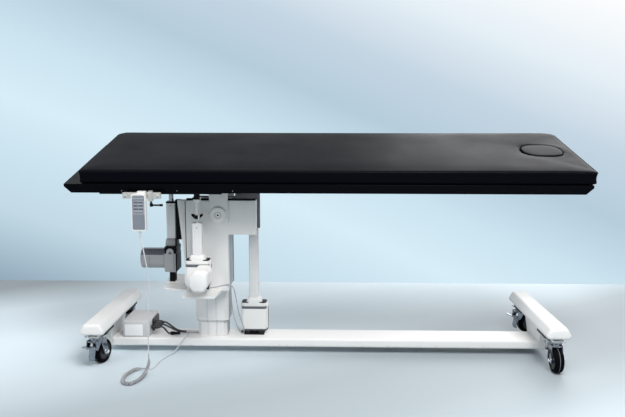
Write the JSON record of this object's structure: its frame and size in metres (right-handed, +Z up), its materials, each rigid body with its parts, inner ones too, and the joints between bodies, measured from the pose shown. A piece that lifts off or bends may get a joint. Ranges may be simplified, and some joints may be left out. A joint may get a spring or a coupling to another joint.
{
  "type": "radiography table",
  "caption": "Radiography table: a padded carbon top on one telescoping column, with powered lift and tilt drives, a wired handset and a low cantilever base on braked casters.",
  "frame": {"origin": "on the floor, under the middle of the top's length and of the whole depth", "axes": "+X along the top from the head end over the column towards the free end, +Y to the rear, away from the handset, +Z up"},
  "size_m": [2.1475, 0.8023, 0.985],
  "materials": {
    "powder_coat": "off-white powder coat",
    "column_paint": "light grey satin paint",
    "drive_shell": "white satin die-cast shell",
    "drive_grey": "mid grey satin shell",
    "tube_steel": "satin anodised",
    "rod_steel": "ground steel",
    "black_paint": "black satin paint",
    "carbon": "dark carbon laminate",
    "vinyl": "black upholstery vinyl",
    "rail_metal": "stainless rail",
    "zinc": "bright zinc plate",
    "tread": "black tread",
    "white_plastic": "white moulded plastic",
    "grey_plastic": "grey moulded plastic",
    "black_plastic": "black moulded plastic",
    "cord_skin": "light grey cord"
  },
  "bodies": {
    "base": {"base_beam": "powder_coat", "foot_crossbars": "powder_coat", "foot_cover_left": "powder_coat", "foot_cover_right": "powder_coat", "column_lower": "column_paint", "control_box": "white_plastic", "control_cables": "black_plastic", "lift_foot_bracket": "black_paint", "lift_motor_housing": "drive_shell", "lift_outer_tube": "tube_steel", "caster_mounts": "zinc", "handset_cord": "cord_skin", "handset_curl": "cord_skin", "handset_lead": "cord_skin", "cord_connector": "black_plastic", "motor_leads": "cord_skin"},
    "middle_stage": {"column_middle": "column_paint"},
    "carriage": {"column_upper": "column_paint", "spacer_frame": "powder_coat", "front_plate": "powder_coat", "rear_plate": "powder_coat", "drive_shelves": "powder_coat", "lift_rod": "rod_steel", "drive_feet": "black_paint"},
    "trend_drive": {"trend_motor_housing": "drive_grey", "trend_outer_tube": "tube_steel"},
    "tilt_drive": {"tilt_motor_housing": "drive_shell", "tilt_outer_tube": "tube_steel"},
    "gimbal": {"gimbal_frame": "powder_coat", "gimbal_shafts": "rod_steel"},
    "trend_push": {"trend_rod": "rod_steel"},
    "tabletop": {"sub_frame": "black_paint", "tabletop_core": "carbon", "pad": "vinyl", "accessory_rail": "rail_metal", "rail_clamp": "rail_metal"},
    "handset": {"handset_shell": "white_plastic", "handset_face": "grey_plastic"},
    "tilt_universal": {"tilt_cross": "rod_steel"},
    "tilt_push": {"tilt_rod": "rod_steel"},
    "lever": {"clamp_lever": "black_plastic"},
    "plug": {"face_plug": "vinyl"},
    "button_1": {"key_1": "grey_plastic"},
    "button_2": {"key_2": "grey_plastic"},
    "button_3": {"key_3": "grey_plastic"},
    "button_4": {"key_4": "grey_plastic"},
    "button_5": {"key_5": "grey_plastic"},
    "button_6": {"key_6": "grey_plastic"},
    "caster_front_left": {"fork_front_left": "zinc"},
    "roller_front_left": {"wheel_front_left": "tread"},
    "brake_front_left": {"pedal_front_left": "zinc"},
    "caster_front_right": {"fork_front_right": "zinc"},
    "roller_front_right": {"wheel_front_right": "tread"},
    "brake_front_right": {"pedal_front_right": "zinc"},
    "caster_rear_left": {"fork_rear_left": "zinc"},
    "roller_rear_left": {"wheel_rear_left": "tread"},
    "brake_rear_left": {"pedal_rear_left": "zinc"},
    "caster_rear_right": {"fork_rear_right": "zinc"},
    "roller_rear_right": {"wheel_rear_right": "tread"},
    "brake_rear_right": {"pedal_rear_right": "zinc"}
  },
  "joints": [
    {"name": "lift", "type": "slide", "parent": "base", "child": "carriage", "axis": [0, 0, 1], "range_m": [-0.03, 0.22], "deforming": ["handset_cord", "motor_leads"]},
    {"name": "middle_lift", "type": "slide", "parent": "base", "child": "middle_stage", "axis": [0, 0, 1], "range_m": [-0.015, 0.11]},
    {"name": "end_tilt", "type": "hinge", "parent": "carriage", "child": "gimbal", "pos_m": [-0.478, 0.01744, 0.637], "axis": [0, 1, 0], "range_deg": [-10, 15]},
    {"name": "side_tilt", "type": "hinge", "parent": "gimbal", "child": "tabletop", "pos_m": [-0.524, 0.01744, 0.79], "axis": [1, 0, 0], "range_deg": [-28.5, 1.5]},
    {"name": "end_drive_swing", "type": "hinge", "parent": "carriage", "child": "trend_drive", "pos_m": [-0.721, 0.06744, 0.34], "axis": [0, 1, 0], "range_deg": [-4.1, 4.1]},
    {"name": "end_rod_pivot", "type": "hinge", "parent": "gimbal", "child": "trend_push", "pos_m": [-0.721, 0.06744, 0.748], "axis": [0, 1, 0], "range_deg": [-11, 11]},
    {"name": "side_drive_swing", "type": "hinge", "parent": "carriage", "child": "tilt_drive", "pos_m": [-0.559, -0.15759, 0.324], "axis": [0, 1, 0], "range_deg": [-4.9, 4.9]},
    {"name": "side_cross_roll", "type": "hinge", "parent": "tabletop", "child": "tilt_universal", "pos_m": [-0.559, -0.15759, 0.74798], "axis": [1, 0, 0], "range_deg": [-1.6, 28.6]},
    {"name": "side_rod_pivot", "type": "hinge", "parent": "tilt_universal", "child": "tilt_push", "pos_m": [-0.559, -0.15759, 0.74798], "axis": [0, 1, 0], "range_deg": [-10.3, 10.3]},
    {"name": "lever_turn", "type": "hinge", "parent": "tabletop", "child": "lever", "pos_m": [-0.716, -0.30337, 0.70835], "axis": [0, -0.2334, 0.9724], "range_deg": [0, 150]},
    {"name": "plug_lift", "type": "slide", "parent": "tabletop", "child": "plug", "axis": [0, -0.2334, 0.9724], "range_m": [0, 0.08]},
    {"name": "handset_unhook", "type": "slide", "parent": "tabletop", "child": "handset", "axis": [0, 0, 1], "range_m": [0, 0.03]},
    {"name": "press_1", "type": "slide", "parent": "handset", "child": "button_1", "axis": [0, 1, 0], "range_m": [0, 0.0012], "stiffness_N_per_m": 400},
    {"name": "press_2", "type": "slide", "parent": "handset", "child": "button_2", "axis": [0, 1, 0], "range_m": [0, 0.0012], "stiffness_N_per_m": 400},
    {"name": "press_3", "type": "slide", "parent": "handset", "child": "button_3", "axis": [0, 1, 0], "range_m": [0, 0.0012], "stiffness_N_per_m": 400},
    {"name": "press_4", "type": "slide", "parent": "handset", "child": "button_4", "axis": [0, 1, 0], "range_m": [0, 0.0012], "stiffness_N_per_m": 400},
    {"name": "press_5", "type": "slide", "parent": "handset", "child": "button_5", "axis": [0, 1, 0], "range_m": [0, 0.0012], "stiffness_N_per_m": 400},
    {"name": "press_6", "type": "slide", "parent": "handset", "child": "button_6", "axis": [0, 1, 0], "range_m": [0, 0.0012], "stiffness_N_per_m": 400},
    {"name": "swivel_front_left", "type": "hinge", "parent": "base", "child": "caster_front_left", "pos_m": [-0.992, -0.22456, 0.12], "axis": [0, 0, 1], "continuous": true},
    {"name": "roll_front_left", "type": "hinge", "parent": "caster_front_left", "child": "roller_front_left", "pos_m": [-0.98263, -0.19188, 0.052], "axis": [-0.9613, 0.2756, 0], "continuous": true},
    {"name": "brake_front_left", "type": "hinge", "parent": "caster_front_left", "child": "brake_front_left", "pos_m": [-1.00027, -0.2534, 0.082], "axis": [-0.9613, 0.2756, 0], "range_deg": [-10, 10]},
    {"name": "swivel_front_right", "type": "hinge", "parent": "base", "child": "caster_front_right", "pos_m": [0.959, -0.22456, 0.12], "axis": [0, 0, 1], "continuous": true},
    {"name": "roll_front_right", "type": "hinge", "parent": "caster_front_right", "child": "roller_front_right", "pos_m": [0.959, -0.25856, 0.052], "axis": [1, 0, 0], "continuous": true},
    {"name": "brake_front_right", "type": "hinge", "parent": "caster_front_right", "child": "brake_front_right", "pos_m": [0.959, -0.19456, 0.082], "axis": [1, 0, 0], "range_deg": [-10, 10]},
    {"name": "swivel_rear_left", "type": "hinge", "parent": "base", "child": "caster_rear_left", "pos_m": [-0.992, 0.25944, 0.12], "axis": [0, 0, 1], "continuous": true},
    {"name": "roll_rear_left", "type": "hinge", "parent": "caster_rear_left", "child": "roller_rear_left", "pos_m": [-0.9979, 0.29292, 0.052], "axis": [-0.9848, -0.1736, 0], "continuous": true},
    {"name": "brake_rear_left", "type": "hinge", "parent": "caster_rear_left", "child": "brake_rear_left", "pos_m": [-0.98679, 0.22989, 0.082], "axis": [-0.9848, -0.1736, 0], "range_deg": [-10, 10]},
    {"name": "swivel_rear_right", "type": "hinge", "parent": "base", "child": "caster_rear_right", "pos_m": [0.959, 0.25944, 0.12], "axis": [0, 0, 1], "continuous": true},
    {"name": "roll_rear_right", "type": "hinge", "parent": "caster_rear_right", "child": "roller_rear_right", "pos_m": [0.99095, 0.27107, 0.052], "axis": [-0.342, 0.9397, 0], "continuous": true},
    {"name": "brake_rear_right", "type": "hinge", "parent": "caster_rear_right", "child": "brake_rear_right", "pos_m": [0.93081, 0.24918, 0.082], "axis": [-0.342, 0.9397, 0], "range_deg": [-10, 10]}
  ],
  "couplings": [
    {"joint": "middle_lift", "follows": "lift", "ratio": 0.5},
    {"joint": "end_drive_swing", "follows": "end_tilt", "ratio": 0.27},
    {"joint": "end_rod_pivot", "follows": "end_tilt", "ratio": -0.73},
    {"joint": "side_drive_swing", "follows": "end_tilt", "ratio": 0.3174},
    {"joint": "side_rod_pivot", "follows": "end_tilt", "ratio": -0.6826},
    {"joint": "side_cross_roll", "follows": "side_tilt", "ratio": -1}
  ]
}
